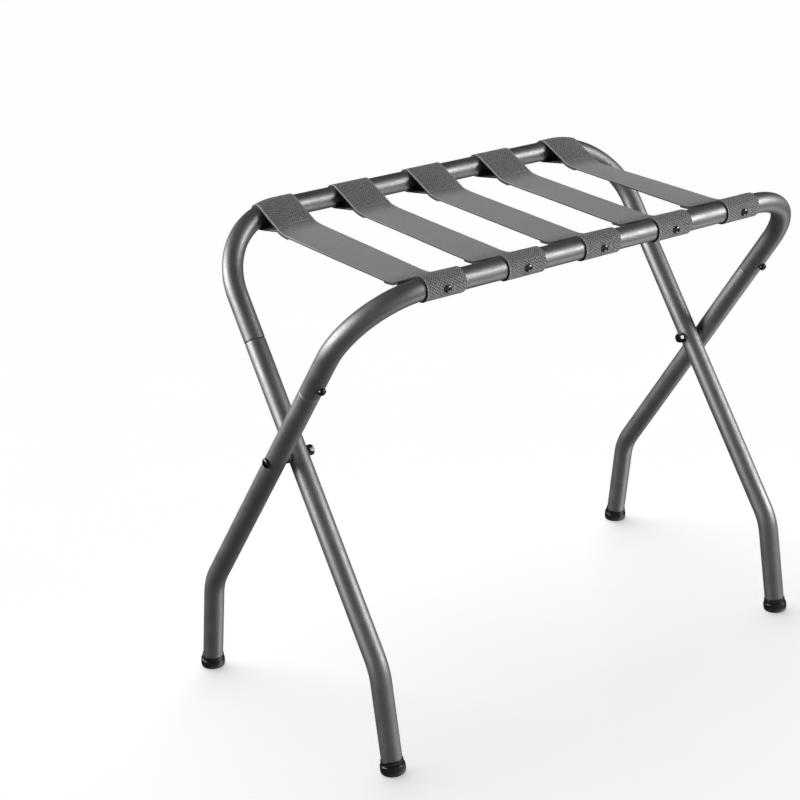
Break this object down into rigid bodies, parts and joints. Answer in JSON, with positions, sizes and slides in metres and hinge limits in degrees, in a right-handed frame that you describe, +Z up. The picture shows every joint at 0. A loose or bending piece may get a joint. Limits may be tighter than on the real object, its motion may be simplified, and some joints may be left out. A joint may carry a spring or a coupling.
{
  "type": "folding luggage rack",
  "caption": "Folding luggage rack: two crossed bent-tube steel frames on side pivot bolts, webbing deck straps looped round the top rails, plastic feet.",
  "frame": {"origin": "on the floor under the middle of the rack, which is the bottom centre of its bounding box", "axes": "+X along the top rails, +Y from the front rail to the rear rail, +Z up"},
  "size_m": [0.6384, 0.3318, 0.5229],
  "materials": {
    "gunmetal_tube": "satin gunmetal metallic coat",
    "webbing": "woven grey nylon webbing",
    "foot_plastic": "glossy black moulded foot",
    "black_washer": "matt black plastic",
    "dark_fastener": "black nickel plated steel"
  },
  "bodies": {
    "outer_frame": {"outer_top_tube": "gunmetal_tube", "outer_leg_left": "gunmetal_tube", "outer_leg_right": "gunmetal_tube", "outer_foot_cap_left": "foot_plastic", "outer_foot_cap_right": "foot_plastic", "outer_joint_screw_left": "dark_fastener", "outer_joint_screw_right": "dark_fastener", "pivot_bolt_left": "dark_fastener", "pivot_bolt_right": "dark_fastener", "pivot_nut_left": "dark_fastener", "pivot_nut_right": "dark_fastener", "pivot_washer_left": "black_washer", "pivot_washer_right": "black_washer", "pivot_spacer_left": "black_washer", "pivot_spacer_right": "black_washer", "strap_1": "webbing", "strap_2": "webbing", "strap_3": "webbing", "strap_4": "webbing", "strap_5": "webbing", "strap_screw_front_1": "dark_fastener", "strap_screw_front_2": "dark_fastener", "strap_screw_front_3": "dark_fastener", "strap_screw_front_4": "dark_fastener", "strap_screw_front_5": "dark_fastener"},
    "inner_frame": {"inner_top_tube": "gunmetal_tube", "inner_leg_left": "gunmetal_tube", "inner_leg_right": "gunmetal_tube", "inner_foot_cap_left": "foot_plastic", "inner_foot_cap_right": "foot_plastic", "inner_joint_screw_left": "dark_fastener", "inner_joint_screw_right": "dark_fastener", "strap_screw_rear_1": "dark_fastener", "strap_screw_rear_2": "dark_fastener", "strap_screw_rear_3": "dark_fastener", "strap_screw_rear_4": "dark_fastener", "strap_screw_rear_5": "dark_fastener"}
  },
  "joints": [
    {"name": "fold", "type": "hinge", "parent": "outer_frame", "child": "inner_frame", "pos_m": [0, 0.00143, 0.29936], "axis": [1, 0, 0], "range_deg": [0, 64.5], "deforming": ["strap_1", "strap_2", "strap_3", "strap_4", "strap_5"]}
  ]
}
